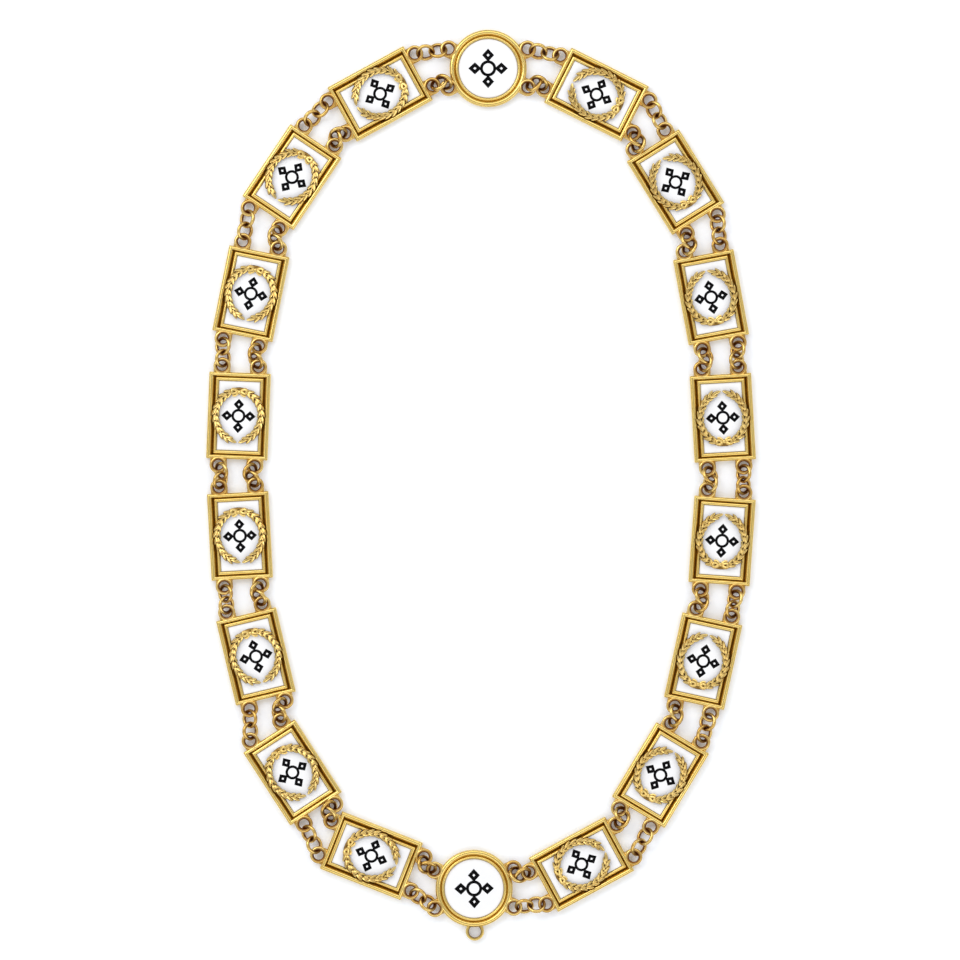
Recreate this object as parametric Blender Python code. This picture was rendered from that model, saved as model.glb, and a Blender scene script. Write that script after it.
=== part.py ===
"""A chain of office, laid flat: sixteen enamelled plates, two enamelled medallions and double rows of links.

Metres, +Z up. The loop lies on Z = 0 with the medallions at its two ends on Y, and the middle of its
outline is the origin. Each plate is one casting: a beaded frame on a back sheet, a laurel wreath and four
eyelets soldered on. Two rows of rings, two rings long, join each casting to the next.
"""

import math

import bpy
from mathutils import Matrix, Vector

MM = 0.001

# Plates and medallions. Every frame has the same section, from its outer edge inwards.
PLATE_WIDTH = 30.8 * MM
PLATE_LENGTH = 43.4 * MM
MEDALLION_RADIUS = 19.3 * MM
MEDALLION_SEGMENTS = 20
FRAME_SECTION_COLUMNS = ("inset", "height")
FRAME_SECTION = (
    (0.0, 0.0),
    (0.0, 3.1),
    (1.1, 4.2),
    (2.3, 3.0),
    (2.9, 3.0),
    (3.8, 3.6),
    (4.7, 3.1),
    (4.7, 1.5),
)
FRAME_BAR = 4.7 * MM
BACK_SHEET = 1.5 * MM
GAP = 0.3 * MM
ENAMEL_THICKNESS = 0.8 * MM
ENAMEL_TOP = BACK_SHEET + GAP + ENAMEL_THICKNESS

# Laurel wreath: two branches that rise from one knot and end in points.
WREATH_RADIUS = 11.75 * MM
WREATH_HALF_WIDTH = 2.0 * MM
WREATH_NOTCH = 0.5 * MM
WREATH_TIP = 0.3 * MM
WREATH_KNOT = 2.7 * MM
WREATH_TOP = 4.5 * MM
WREATH_SPANS = 12
WREATH_TIP_ANGLE = math.radians(5)

# Rings and the eyelets that they hang in.
RING_RADIUS = 3.6 * MM
RING_WIRE = 1.5 * MM
RING_SEGMENTS = 8
WIRE_SIDES = 3
RING_TILT = math.radians(68)
SLACK_TILT = math.radians(56)
RING_RISE = math.radians(4)
RING_CLEAR_OF_TABLE = 0.1 * MM
LINK_HOLD = 0.6 * MM
LEAN_PASSES = 6
MOST_LEAN = math.radians(60)
EYELET_RADIUS = 3.45 * MM
EYELET_WIRE = 1.6 * MM
EYELET_ROOT = 4.2 * MM
EYELET_SEGMENTS = 4
EYELET_HEIGHT = 3.4 * MM
# Height of a ring's middle, at which the rings that stand steepest just clear the table.
RING_MIDDLE = (
    RING_WIRE / 2
    + RING_CLEAR_OF_TABLE
    + RING_RADIUS * math.hypot(math.sin(RING_RISE), math.sin(RING_TILT) * math.cos(RING_RISE))
)
FREE_REACH = EYELET_RADIUS - EYELET_WIRE / 2 - RING_WIRE / 2 - GAP
JOINED_REACH = FREE_REACH + GAP + 0.4 * MM
# A row at least as long as the first span is drawn out. One as short as the second lies bunched up.
DRAWN_SPAN = 12.0 * MM
BUNCHED_SPAN = 6.0 * MM
BUNCHED_REACH = 0.3 * MM

# Places of the eyelets on their casting: across the chain, and along it.
PLATE_EYELET_ACROSS = 9.1 * MM
PLATE_EYELET_ALONG = PLATE_LENGTH / 2 + 3.0 * MM
MEDALLION_EYELET_ACROSS = 9.6 * MM
MEDALLION_EYELET_ALONG = 19.7 * MM

# The eye for a jewel, below the bottom medallion.
JEWEL_EYE_PLACE = 21.5 * MM
JEWEL_EYE_HOLE = 3.0 * MM
JEWEL_EYE_OUTER = 4.55 * MM
JEWEL_EYE_THICKNESS = 2.0 * MM
JEWEL_EYE_HEIGHT = 2.0 * MM
JEWEL_EYE_SEGMENTS = 8

# The loop: a rounded oval, a little squarer above its middle than below.
LOOP_HALF_WIDTH = 121.7 * MM
LOOP_HALF_LENGTH = 203.6 * MM
LOOP_POWER_ABOVE = 2.5
LOOP_POWER_BELOW = 2.2
LOOP_STEPS = 7200
PLATES_PER_SIDE = 8
# A step from medallion to plate, as a share of a step from plate to plate.
MEDALLION_STEP = 0.908

# How each casting settled as the chain was laid down: millimetres along the chain and towards the inside of
# the loop, and degrees of turn. The order runs counter-clockwise from the top medallion.
SETTLED_COLUMNS = ("unit", "along", "inward", "turn")
SETTLED = (
    ("top", -4.0, -2.0, 0),
    ("01", -3.0, 1.5, 1),
    ("02", -1.5, 0.0, -5),
    ("03", 0.0, 0.0, 0),
    ("04", 1.0, 0.5, 0),
    ("05", 0.5, 1.0, 0),
    ("06", 1.0, 0.5, 0),
    ("07", 1.0, -3.0, 4),
    ("08", -2.5, -0.5, 12),
    ("bottom", -3.0, -0.5, 1),
    ("09", -3.0, -2.0, -5),
    ("10", -4.0, -0.5, -2),
    ("11", -3.5, 0.5, 1),
    ("12", -3.0, 0.0, -1),
    ("13", -2.0, 0.0, 1),
    ("14", -2.0, -0.5, -1),
    ("15", -2.5, -2.0, 3),
    ("16", -4.5, -2.0, 1),
)

GOLD = (0.80, 0.56, 0.22, 1.0)
LINK_GOLD = (0.72, 0.42, 0.15, 1.0)
WHITE = (0.92, 0.92, 0.91, 1.0)


def clear_scene():
    for obj in list(bpy.data.objects):
        bpy.data.objects.remove(obj)


def material(name, colour, roughness, metallic):
    made = bpy.data.materials.new(name)
    made.use_nodes = True
    shader = made.node_tree.nodes["Principled BSDF"]
    shader.inputs["Base Color"].default_value = colour
    shader.inputs["Roughness"].default_value = roughness
    shader.inputs["Metallic"].default_value = metallic
    return made


def stacked(sections, closed=False):
    """Vertices and faces of the skin through equal loops of points, with its ends capped or joined."""
    count = len(sections[0])
    rows = len(sections)
    vertices = [point for section in sections for point in section]
    faces = []
    for row in range(rows if closed else rows - 1):
        here, there = row * count, (row + 1) % rows * count
        for side in range(count):
            turn = (side + 1) % count
            faces.append((here + side, here + turn, there + turn, there + side))
    if not closed:
        faces.append(tuple(reversed(range(count))))
        faces.append(tuple(range((rows - 1) * count, rows * count)))
    return vertices, faces


def joined(*solids):
    """One vertex list and one face list from several."""
    vertices, faces = [], []
    for points, polygons in solids:
        start = len(vertices)
        vertices += points
        faces += [tuple(start + index for index in polygon) for polygon in polygons]
    return vertices, faces


def mesh(name, solid, finish):
    made = bpy.data.meshes.new(name)
    made.from_pydata(solid[0], [], solid[1])
    made.materials.append(finish)
    return made


def place(name, data, matrix, parent):
    obj = bpy.data.objects.new(name, data)
    bpy.context.scene.collection.objects.link(obj)
    obj.parent = parent
    obj.matrix_local = matrix
    return obj


def helper(obj):
    obj.hide_render = True
    obj.display_type = "WIRE"
    return obj


def unite(obj, other):
    modifier = obj.modifiers.new("with_" + other.name, "BOOLEAN")
    modifier.operation = "UNION"
    modifier.solver = "EXACT"
    modifier.object = other


def rectangle(inset):
    half_width = PLATE_WIDTH / 2 - inset
    half_length = PLATE_LENGTH / 2 - inset
    return [
        (half_width, half_length),
        (-half_width, half_length),
        (-half_width, -half_length),
        (half_width, -half_length),
    ]


def circle(inset):
    radius = MEDALLION_RADIUS - inset
    steps = [math.tau * step / MEDALLION_SEGMENTS for step in range(MEDALLION_SEGMENTS)]
    return [(radius * math.cos(turn), radius * math.sin(turn)) for turn in steps]


def frame_body(outline):
    """The beaded frame and the sheet that closes its back."""
    return stacked([[(x, y, height * MM) for x, y in outline(inset * MM)] for inset, height in FRAME_SECTION])


def enamel_body(outline):
    edge = outline(FRAME_BAR + GAP)
    low = BACK_SHEET + GAP
    return stacked([[(x, y, height) for x, y in edge] for height in (low, ENAMEL_TOP)])


def round_section(wire, sides):
    """Section of a round wire, as offsets towards the middle of its bend and up, with an edge on the inside."""
    corners = [math.tau * side / sides for side in range(sides)]
    return [(wire / 2 * math.cos(corner), wire / 2 * math.sin(corner)) for corner in corners]


def bent_bar(radius, segments, height, section):
    """An eyelet: a bar bent round a half circle, with two straight legs that run back into the frame."""
    arc = [math.pi * step / segments for step in range(segments + 1)]
    path = [(radius, -EYELET_ROOT, 0.0)]
    path += [(radius * math.cos(turn), radius * math.sin(turn), turn) for turn in arc]
    path.append((-radius, -EYELET_ROOT, math.pi))
    sections = []
    for x, y, turn in path:
        inward = Vector((-math.cos(turn), -math.sin(turn), 0))
        middle = Vector((x, y, height))
        sections.append([middle + inward * towards + Vector((0, 0, up)) for towards, up in section])
    return stacked(sections)


def moved(solid, x, y, turn):
    matrix = Matrix.Translation((x, y, 0)) @ Matrix.Rotation(turn, 4, "Z")
    return [matrix @ Vector(point) for point in solid[0]], solid[1]


def eyelets(across, along, radial):
    """Four link eyelets, two at each end, that point along the chain or away from the medallion's middle."""
    # The straight stretches of the bar lie on the true radius, so no ring in the eyelet comes too near them.
    corner_radius = EYELET_RADIUS / math.cos(math.pi / (2 * EYELET_SEGMENTS))
    bar = bent_bar(corner_radius, EYELET_SEGMENTS, EYELET_HEIGHT, round_section(EYELET_WIRE, WIRE_SIDES))
    made = []
    for end in (1, -1):
        for side in (1, -1):
            x, y = side * across, end * along
            facing = math.atan2(y, x) if radial else end * math.pi / 2
            made.append(moved(bar, x, y, facing - math.pi / 2))
    return joined(*made)


def jewel_eye():
    """A flat eye that lies level with the middle of the rim, on the outside of the loop."""
    wall = (JEWEL_EYE_OUTER - JEWEL_EYE_HOLE) / 2
    half = JEWEL_EYE_THICKNESS / 2
    section = [(wall, half), (-wall, half), (-wall, -half), (wall, -half)]
    bar = bent_bar(JEWEL_EYE_HOLE + wall, JEWEL_EYE_SEGMENTS, JEWEL_EYE_HEIGHT, section)
    return moved(bar, JEWEL_EYE_PLACE, 0, -math.pi / 2)


def wreath_half_width(station):
    """Half the width at a station: a point at both tips, a knot in the middle, and notches like leaves between."""
    from_tip = min(station, WREATH_SPANS - station)
    if from_tip == 0:
        return WREATH_TIP
    if from_tip == WREATH_SPANS / 2:
        return WREATH_KNOT
    return WREATH_HALF_WIDTH - WREATH_NOTCH * (from_tip % 2)


def wreath():
    """A ridged band on an arc that is open between the two tips, at its own +Y."""
    sections = []
    step = (math.tau - 2 * WREATH_TIP_ANGLE) / WREATH_SPANS
    for station in range(WREATH_SPANS + 1):
        turn = WREATH_TIP_ANGLE + station * step
        half = wreath_half_width(station)
        outward = Vector((math.sin(turn), math.cos(turn), 0))
        low = Vector((0, 0, ENAMEL_TOP + GAP))
        inner = outward * (WREATH_RADIUS - half) + low
        outer = outward * (WREATH_RADIUS + half) + low
        sections.append([inner, outward * WREATH_RADIUS + Vector((0, 0, WREATH_TOP)), outer])
    return stacked(sections)


def ring_body():
    """One ring in the XY plane, with a corner of its outline at -X, where an eyelet holds it."""
    sections = []
    for step in range(RING_SEGMENTS):
        turn = math.tau * step / RING_SEGMENTS
        inward = Vector((math.cos(turn), -math.sin(turn), 0))
        section = round_section(RING_WIRE, WIRE_SIDES)
        sections.append([inward * (towards - RING_RADIUS) + Vector((0, 0, up)) for towards, up in section])
    return stacked(sections, closed=True)


def blank(name, body, additions, finish, parent):
    """The mesh of a casting that several objects share: its body with the additions united to it."""
    obj = place(name, mesh(name, body, finish), Matrix(), parent)
    others = [
        place(f"{name}_{number}", mesh(f"{name}_{number}", addition, finish), Matrix(), parent)
        for number, addition in enumerate(additions)
    ]
    for other in others:
        unite(obj, other)
    bpy.context.view_layer.update()
    made = bpy.data.meshes.new_from_object(obj.evaluated_get(bpy.context.evaluated_depsgraph_get()))
    made.name = name + "_casting"
    for gone in [obj, *others]:
        bpy.data.objects.remove(gone)
    return made


def loop_point(turn):
    cosine, sine = math.cos(turn), math.sin(turn)
    power = LOOP_POWER_ABOVE if sine >= 0 else LOOP_POWER_BELOW
    x = math.copysign(abs(cosine) ** (2 / power), cosine) * LOOP_HALF_WIDTH
    y = math.copysign(abs(sine) ** (2 / power), sine) * LOOP_HALF_LENGTH
    return Vector((x, y))


def half_loop(start):
    """Points from one medallion to the other, counter-clockwise, and their distances along the loop."""
    points = [loop_point(start + math.pi * step / LOOP_STEPS) for step in range(LOOP_STEPS + 1)]
    distances = [0.0]
    for here, there in zip(points, points[1:]):
        distances.append(distances[-1] + (there - here).length)
    return points, distances


def at_distance(points, distances, wanted):
    """The point and the heading at a distance along a half loop."""
    index = next((i for i, distance in enumerate(distances) if distance >= wanted), len(points) - 1)
    before, after = points[max(index - 20, 0)], points[min(index + 20, len(points) - 1)]
    return points[index], math.atan2(after.y - before.y, after.x - before.x)


def laid_out():
    """The place and heading of each casting, counter-clockwise from the top medallion."""
    spots = []
    for start in (math.pi / 2, -math.pi / 2):
        points, distances = half_loop(start)
        step = distances[-1] / (PLATES_PER_SIDE - 1 + 2 * MEDALLION_STEP)
        spots.append((points[0], start + math.pi / 2))
        for plate in range(PLATES_PER_SIDE):
            spots.append(at_distance(points, distances, step * (MEDALLION_STEP + plate)))
    units = {}
    for (name, along, inward, turn), (point, heading) in zip(SETTLED, spots):
        forward = Vector((math.cos(heading), math.sin(heading)))
        left = Vector((-forward.y, forward.x))
        units[name] = (point + forward * along * MM + left * inward * MM, heading + math.radians(turn))
    return units


def unit_matrix(spot):
    """Matrix of a casting whose own +Y points along the chain."""
    point, heading = spot
    return Matrix.Translation((point.x, point.y, 0)) @ Matrix.Rotation(heading - math.pi / 2, 4, "Z")


def is_medallion(name):
    return name in ("top", "bottom")


def eyelet_at(units, name, end, side):
    """Middle of an eyelet: end is 1 at the front of its casting, side is 1 on the outside of the loop."""
    across = MEDALLION_EYELET_ACROSS if is_medallion(name) else PLATE_EYELET_ACROSS
    along = MEDALLION_EYELET_ALONG if is_medallion(name) else PLATE_EYELET_ALONG
    return (unit_matrix(units[name]) @ Vector((side * across, end * along, 0))).to_2d()


def ring_matrix(eyelet, facing, reach, tilt):
    """Matrix of a ring that passes through an eyelet and leads away from it."""
    flat = Vector((math.cos(facing), math.sin(facing), 0))
    forward = flat * math.cos(RING_RISE) + Vector((0, 0, math.sin(RING_RISE)))
    sideways = Vector((-flat.y, flat.x, 0))
    across = sideways * math.cos(tilt) + forward.cross(sideways) * math.sin(tilt)
    middle = Vector((eyelet.x, eyelet.y, RING_MIDDLE)) + flat * (reach + RING_RADIUS * math.cos(RING_RISE))
    turned = Matrix((forward, across, forward.cross(across))).transposed().to_4x4()
    return Matrix.Translation(middle) @ turned


def by_slack(span, drawn, bunched):
    """A value between the one for a drawn-out row and the one for a bunched row."""
    share = min(1.0, max(0.0, (DRAWN_SPAN - span) / (DRAWN_SPAN - BUNCHED_SPAN)))
    return drawn + (bunched - drawn) * share


def link_pair(start, end, side, reach_a, reach_b):
    """Matrices of two linked rings that lean to one side between two eyelets.

    The eyelets and the link are the corners of a triangle whose sides are the span and the two rings' lengths.
    The link takes up more of those lengths the more the rings lean, so the angles are worked out in passes.
    """
    span = (end - start).length
    heading = math.atan2(end.y - start.y, end.x - start.x)
    ring_length = 2 * RING_RADIUS * math.cos(RING_RISE)
    hold = LINK_HOLD
    for _ in range(LEAN_PASSES):
        leg_a = reach_a + ring_length - hold
        leg_b = reach_b + ring_length - hold
        lean_a = math.acos(min(1.0, (leg_a**2 + span**2 - leg_b**2) / (2 * leg_a * span)))
        lean_b = math.acos(min(1.0, (leg_b**2 + span**2 - leg_a**2) / (2 * leg_b * span)))
        hold = LINK_HOLD / math.cos(min(max(lean_a, lean_b), MOST_LEAN)) ** 1.5
    tilt = side * by_slack(span, RING_TILT, SLACK_TILT)
    return (
        ring_matrix(start, heading + side * lean_a, reach_a, tilt),
        ring_matrix(end, heading + math.pi - side * lean_b, reach_b, tilt),
    )


def outline_centre(units):
    """Middle of the box round the whole chain, which becomes the origin."""
    corners = []
    for name, spot in units.items():
        outline = circle(0) if is_medallion(name) else rectangle(0)
        corners += [unit_matrix(spot) @ Vector((x, y, 0)) for x, y in outline]
    eye = unit_matrix(units["bottom"]) @ Vector((JEWEL_EYE_PLACE + JEWEL_EYE_OUTER, 0, 0))
    corners.append(eye)
    xs = [corner.x for corner in corners]
    ys = [corner.y for corner in corners]
    return Vector(((min(xs) + max(xs)) / 2, (min(ys) + max(ys)) / 2, 0))


def build():
    clear_scene()
    gilt = material("gilt", GOLD, 0.25, 1.0)
    link_gilt = material("link_gilt", LINK_GOLD, 0.3, 1.0)
    enamel = material("white_enamel", WHITE, 0.1, 0.0)

    units = laid_out()
    origin = bpy.data.objects.new("chain", None)
    bpy.context.scene.collection.objects.link(origin)
    origin.location = -outline_centre(units)

    plate_eyelets = eyelets(PLATE_EYELET_ACROSS, PLATE_EYELET_ALONG, radial=False)
    rim_eyelets = eyelets(MEDALLION_EYELET_ACROSS, MEDALLION_EYELET_ALONG, radial=True)
    castings = {
        "plate": blank("plate", frame_body(rectangle), [plate_eyelets, wreath()], gilt, origin),
        "top": blank("top", frame_body(circle), [rim_eyelets], gilt, origin),
        "bottom": blank("bottom", frame_body(circle), [rim_eyelets, jewel_eye()], gilt, origin),
    }
    plate_enamel = mesh("plate_enamel", enamel_body(rectangle), enamel)
    medallion_enamel = mesh("medallion_enamel", enamel_body(circle), enamel)
    ring = mesh("ring", ring_body(), link_gilt)

    names = list(units)
    for number, name in enumerate(names, 1):
        following = names[number % len(names)]
        matrix = unit_matrix(units[name])
        round_one = is_medallion(name)
        casting = place(
            ("rim_" if round_one else "plate_") + name, castings[name if round_one else "plate"], matrix, origin
        )
        place("enamel_" + name, medallion_enamel if round_one else plate_enamel, matrix, origin)

        # Outer row: a pair of its own. Inner row: a pair soldered to the eyelet that it starts from.
        for side, row in ((1, "outer"), (-1, "inner")):
            start = eyelet_at(units, name, 1, side)
            end = eyelet_at(units, following, -1, side)
            span = (end - start).length
            own = row == "outer"
            free_reach = by_slack(span, FREE_REACH, BUNCHED_REACH)
            first, second = link_pair(start, end, side, free_reach if own else JOINED_REACH, free_reach)
            leader = place(f"links_{number:02d}" if own else f"inner_{number:02d}_a", ring, first, origin)
            follower = helper(place(f"{row}_{number:02d}_b", ring, second, origin))
            unite(leader, follower)
            if not own:
                unite(casting, helper(leader))


build()
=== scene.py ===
# A chain of office laid flat: sixteen framed enamel plates with laurel wreaths, two medallions and double
# rows of rings.
import math
import random

import bpy
from mathutils import Matrix, Vector


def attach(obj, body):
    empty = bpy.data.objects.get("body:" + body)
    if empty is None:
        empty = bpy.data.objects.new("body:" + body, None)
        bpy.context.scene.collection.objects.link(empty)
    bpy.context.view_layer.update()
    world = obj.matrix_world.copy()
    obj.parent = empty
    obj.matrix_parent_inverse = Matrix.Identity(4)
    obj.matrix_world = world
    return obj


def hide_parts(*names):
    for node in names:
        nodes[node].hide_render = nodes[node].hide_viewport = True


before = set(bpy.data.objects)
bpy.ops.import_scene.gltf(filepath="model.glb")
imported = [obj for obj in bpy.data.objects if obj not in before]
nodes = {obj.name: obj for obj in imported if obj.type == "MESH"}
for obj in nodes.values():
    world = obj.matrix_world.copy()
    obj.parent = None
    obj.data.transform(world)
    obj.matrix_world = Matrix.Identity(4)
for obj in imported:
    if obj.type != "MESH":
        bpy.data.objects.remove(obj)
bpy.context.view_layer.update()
scene = bpy.context.scene
mm = 0.001
unitNames = ["top", *[f"{n:02d}" for n in range(1, 9)], "bottom", *[f"{n:02d}" for n in range(9, 17)]]


# where the eighteen castings lie, read from their enamels

def isMedallion(name):
    return name in ("top", "bottom")


def nextUnit(index):
    return unitNames[(index + 1) % len(unitNames)]


def seenFromAbove(node):
    found = {(round(v.co.x, 6), round(v.co.y, 6)) for v in nodes[node].data.vertices}
    return [Vector(point) for point in sorted(found)]


def middleOf(points):
    return sum(points, Vector((0, 0))) / len(points)


def longSide(points):
    sides = [b - a for a in points for b in points if a != b]
    sides.sort(key=lambda side: side.length)
    shortSides = 4  # two of them, and each is listed both ways
    return sides[shortSides]


def unitPoses():
    corners = {name: seenFromAbove("enamel_" + name) for name in unitNames}
    middles = {name: middleOf(points) for name, points in corners.items()}
    poses = {}
    for index, name in enumerate(unitNames):
        travel = middles[nextUnit(index)] - middles[unitNames[index - 1]]
        outward = Vector((travel.y, -travel.x))
        if isMedallion(name):  # one corner of its outline points straight out of the loop
            corner = max(corners[name], key=lambda point: (point - middles[name]).normalized().dot(outward))
            outward = (corner - middles[name]).normalized()
        else:  # its long sides run along the chain
            along = longSide(corners[name])
            outward = Vector((along.y, -along.x)).normalized() * (1 if along.dot(travel) > 0 else -1)
        forward = Vector((-outward.y, outward.x))
        turn = Matrix((outward.to_3d(), forward.to_3d(), Vector((0, 0, 1)))).transposed().to_4x4()
        poses[name] = Matrix.Translation(middles[name].to_3d()) @ turn
    return poses


poses = unitPoses()
print("placed", len(poses), "castings")


# node trees: maths on sockets as plain sums, and one method that makes every node

class Wire:
    def __init__(self, bench, socket):
        self.bench = bench
        self.socket = socket

    def __add__(self, other):
        return self.bench.maths("ADD", self, other)

    def __sub__(self, other):
        return self.bench.maths("SUBTRACT", self, other)

    def __rsub__(self, other):
        return self.bench.maths("SUBTRACT", other, self)

    def __mul__(self, other):
        return self.bench.maths("MULTIPLY", self, other)

    def __truediv__(self, other):
        return self.bench.maths("DIVIDE", self, other)

    def __rtruediv__(self, other):
        return self.bench.maths("DIVIDE", other, self)

    __radd__ = __add__
    __rmul__ = __mul__


class Bench:  # one tree and the nodes on it
    def __init__(self, tree):
        self.tree = tree
        tree.nodes.clear()

    def node(self, kind, inputs, out=0, **settings):
        made = self.tree.nodes.new(kind)
        for key, value in settings.items():
            setattr(made, key, value)
        for key, value in inputs.items():
            if isinstance(value, Wire):
                self.tree.links.new(value.socket, made.inputs[key])
            else:
                made.inputs[key].default_value = value
        wires = [Wire(self, socket) for socket in made.outputs]
        if out is None:
            return wires
        return wires[out] if wires else None

    def maths(self, operation, *values):
        return self.node("ShaderNodeMath", dict(enumerate(values)), operation=operation)

    def split(self, vector):
        return self.node("ShaderNodeSeparateXYZ", {0: vector}, out=None)

    def join(self, x, y, z):
        return self.node("ShaderNodeCombineXYZ", {0: x, 1: y, 2: z})

    def blend(self, share, first, second):
        return self.node("ShaderNodeMix", {0: share, 6: first, 7: second}, out=2, data_type="RGBA")


class Finish(Bench):  # a material
    words = {
        "colour": "Base Color",
        "roughness": "Roughness",
        "metallic": "Metallic",
        "normal": "Normal",
        "coat": "Coat Weight",
        "coatRoughness": "Coat Roughness",
        "specular": "Specular IOR Level",
        "glow": "Emission Color",
        "glowStrength": "Emission Strength",
    }

    def __init__(self, name):
        self.material = bpy.data.materials.new(name)
        self.material.use_nodes = True
        super().__init__(self.material.node_tree)

    def place(self):
        return self.node("ShaderNodeTexCoord", {}, out=3)

    def clamped(self, value, low, high):
        limits = {"Value": value, "From Min": low, "From Max": high}
        return self.node("ShaderNodeMapRange", limits, interpolation_type="SMOOTHSTEP")

    def noise(self, place, scale, detail=2.0, roughness=0.5):
        inputs = {"Vector": place, "Scale": scale, "Detail": detail, "Roughness": roughness}
        return self.node("ShaderNodeTexNoise", inputs)

    def mark(self, name):  # a value that the mesh carries
        return self.node("ShaderNodeAttribute", {}, out=2, attribute_name=name)

    def bump(self, height, strength, distance):
        return self.node("ShaderNodeBump", {"Height": height, "Strength": strength, "Distance": distance})

    def done(self, **inputs):
        named = {self.words[key]: value for key, value in inputs.items()}
        shader = self.node("ShaderNodeBsdfPrincipled", named)
        self.node("ShaderNodeOutputMaterial", {"Surface": shader})
        return self.material


class Grower(Bench):  # a Geometry Nodes tree with named inputs
    def __init__(self, name, wanted):
        super().__init__(bpy.data.node_groups.new(name, "GeometryNodeTree"))
        face = self.tree.interface
        for label, kind in {"Geometry": "Geometry", **wanted}.items():
            face.new_socket(label, in_out="INPUT", socket_type="NodeSocket" + kind)
        face.new_socket("Geometry", in_out="OUTPUT", socket_type="NodeSocketGeometry")
        entry = self.node("NodeGroupInput", {}, out=None)
        self.given = {wire.socket.name: wire for wire in entry if wire.socket.name}

    def done(self, geometry):
        real = self.node("GeometryNodeRealizeInstances", {"Geometry": geometry})
        dressed = self.node("GeometryNodeSetMaterial", {"Geometry": real, "Material": self.given["Finish"]})
        self.node("NodeGroupOutput", {0: dressed})
        return self.tree


# finishes

goldLook = {
    "bright": (0.85, 0.63, 0.205, 1),
    "warm": (0.83, 0.59, 0.175, 1),
    "patchScale": 90.0,
    "patchRange": (0.35, 0.65),
    # the next three: the dark brown painted into recesses as shade and gold-on-gold reflection, the recess
    # where it starts, and the noise that breaks it up
    "paintedShade": (0.27, 0.155, 0.04, 1),
    "shadeMaskFrom": 0.35,
    "shadeMaskSpeckle": 0.4,
    "fineScale": 1100.0,
    "fineDetail": (3.0, 0.6),
    "roughness": 0.25,
    "dullRoughness": 0.4,
    "roughnessSpread": 0.06,
    "dentScale": 420.0,
    "dents": 0.05,
    "grain": 0.05,
    "dentDepth": 0.03 * mm,
}
castLook = {
    **goldLook,
    "bright": (0.81, 0.60, 0.215, 1),
    "warm": (0.78, 0.55, 0.18, 1),
    # the leaves take painted shade from shallower recesses
    "shadeMaskFrom": 0.15,
    "roughness": 0.28,
    "dents": 0.6,
    "grain": 0.3,
}
linkLook = {
    **goldLook,
    "bright": (0.82, 0.585, 0.20, 1),
    "warm": (0.66, 0.405, 0.105, 1),
    # a darker painted shade for the rings' insides and ends
    "paintedShade": (0.2, 0.072, 0.014, 1),
    "shadeMaskFrom": 0.1,
}
whiteLook = {
    "colour": (0.94, 0.94, 0.945, 1),
    # the brown that the enamel takes towards the frame: painted shade along the joint
    "edge": (0.42, 0.37, 0.30, 1),
    "edgeFrom": 0.1,
    "roughness": 0.1,
    "roughnessScale": 600.0,
    "roughnessSpread": 0.05,
    "cloudScale": 120.0,
    "cloud": 0.12,
    "cloudDepth": 0.1 * mm,
    "specular": 0.5,
    "coat": 0.3,
    "coatRoughness": 0.05,
}
blackLook = {
    **whiteLook,
    "colour": (0.003, 0.003, 0.0035, 1),
    "edge": (0.003, 0.003, 0.0035, 1),
    "roughness": 0.3,
    "specular": 0.05,
    "coat": 0.0,
}


def goldMetal(name, look):
    bench = Finish(name)
    place = bench.place()
    patches = bench.clamped(bench.noise(place, look["patchScale"]), *look["patchRange"])
    fine = bench.noise(place, look["fineScale"], *look["fineDetail"])
    # painted shade: the recess marks, broken up by fine noise, darken the gold towards dark brown
    shadeMask = bench.clamped(bench.mark("recess") + (fine - 0.5) * look["shadeMaskSpeckle"], look["shadeMaskFrom"], 1.0)
    tone = bench.blend(patches, look["bright"], look["warm"])
    duller = shadeMask * (look["dullRoughness"] - look["roughness"]) + look["roughness"]
    relief = bench.noise(place, look["dentScale"]) * look["dents"] + fine * look["grain"]
    return bench.done(
        colour=bench.blend(shadeMask, tone, look["paintedShade"]),
        roughness=duller + (fine - 0.5) * look["roughnessSpread"],
        metallic=1.0,
        normal=bench.bump(relief, 1.0, look["dentDepth"]),
    )


def enamelGlass(name, look):
    bench = Finish(name)
    place = bench.place()
    # painted shade: the enamel darkens towards its edge against the frame
    rim = bench.clamped(bench.mark("recess"), look["edgeFrom"], 1.0)
    uneven = bench.noise(place, look["roughnessScale"]) * look["roughnessSpread"]
    return bench.done(
        colour=bench.blend(rim, look["colour"], look["edge"]),
        roughness=uneven + look["roughness"],
        metallic=0.0,
        normal=bench.bump(bench.noise(place, look["cloudScale"]), look["cloud"], look["cloudDepth"]),
        specular=look["specular"],
        coat=look["coat"],
        coatRoughness=look["coatRoughness"],
    )


polishedGold = goldMetal("polishedGold", goldLook)
castGold = goldMetal("castGold", castLook)
linkGold = goldMetal("linkGold", linkLook)
whiteEnamel = enamelGlass("whiteEnamel", whiteLook)
blackEnamel = enamelGlass("blackEnamel", blackLook)
print("finishes: gilding of frames, leaves and links, white and black enamel")


# shapes as lists of points, faces and how deep in a recess each point lies

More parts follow.
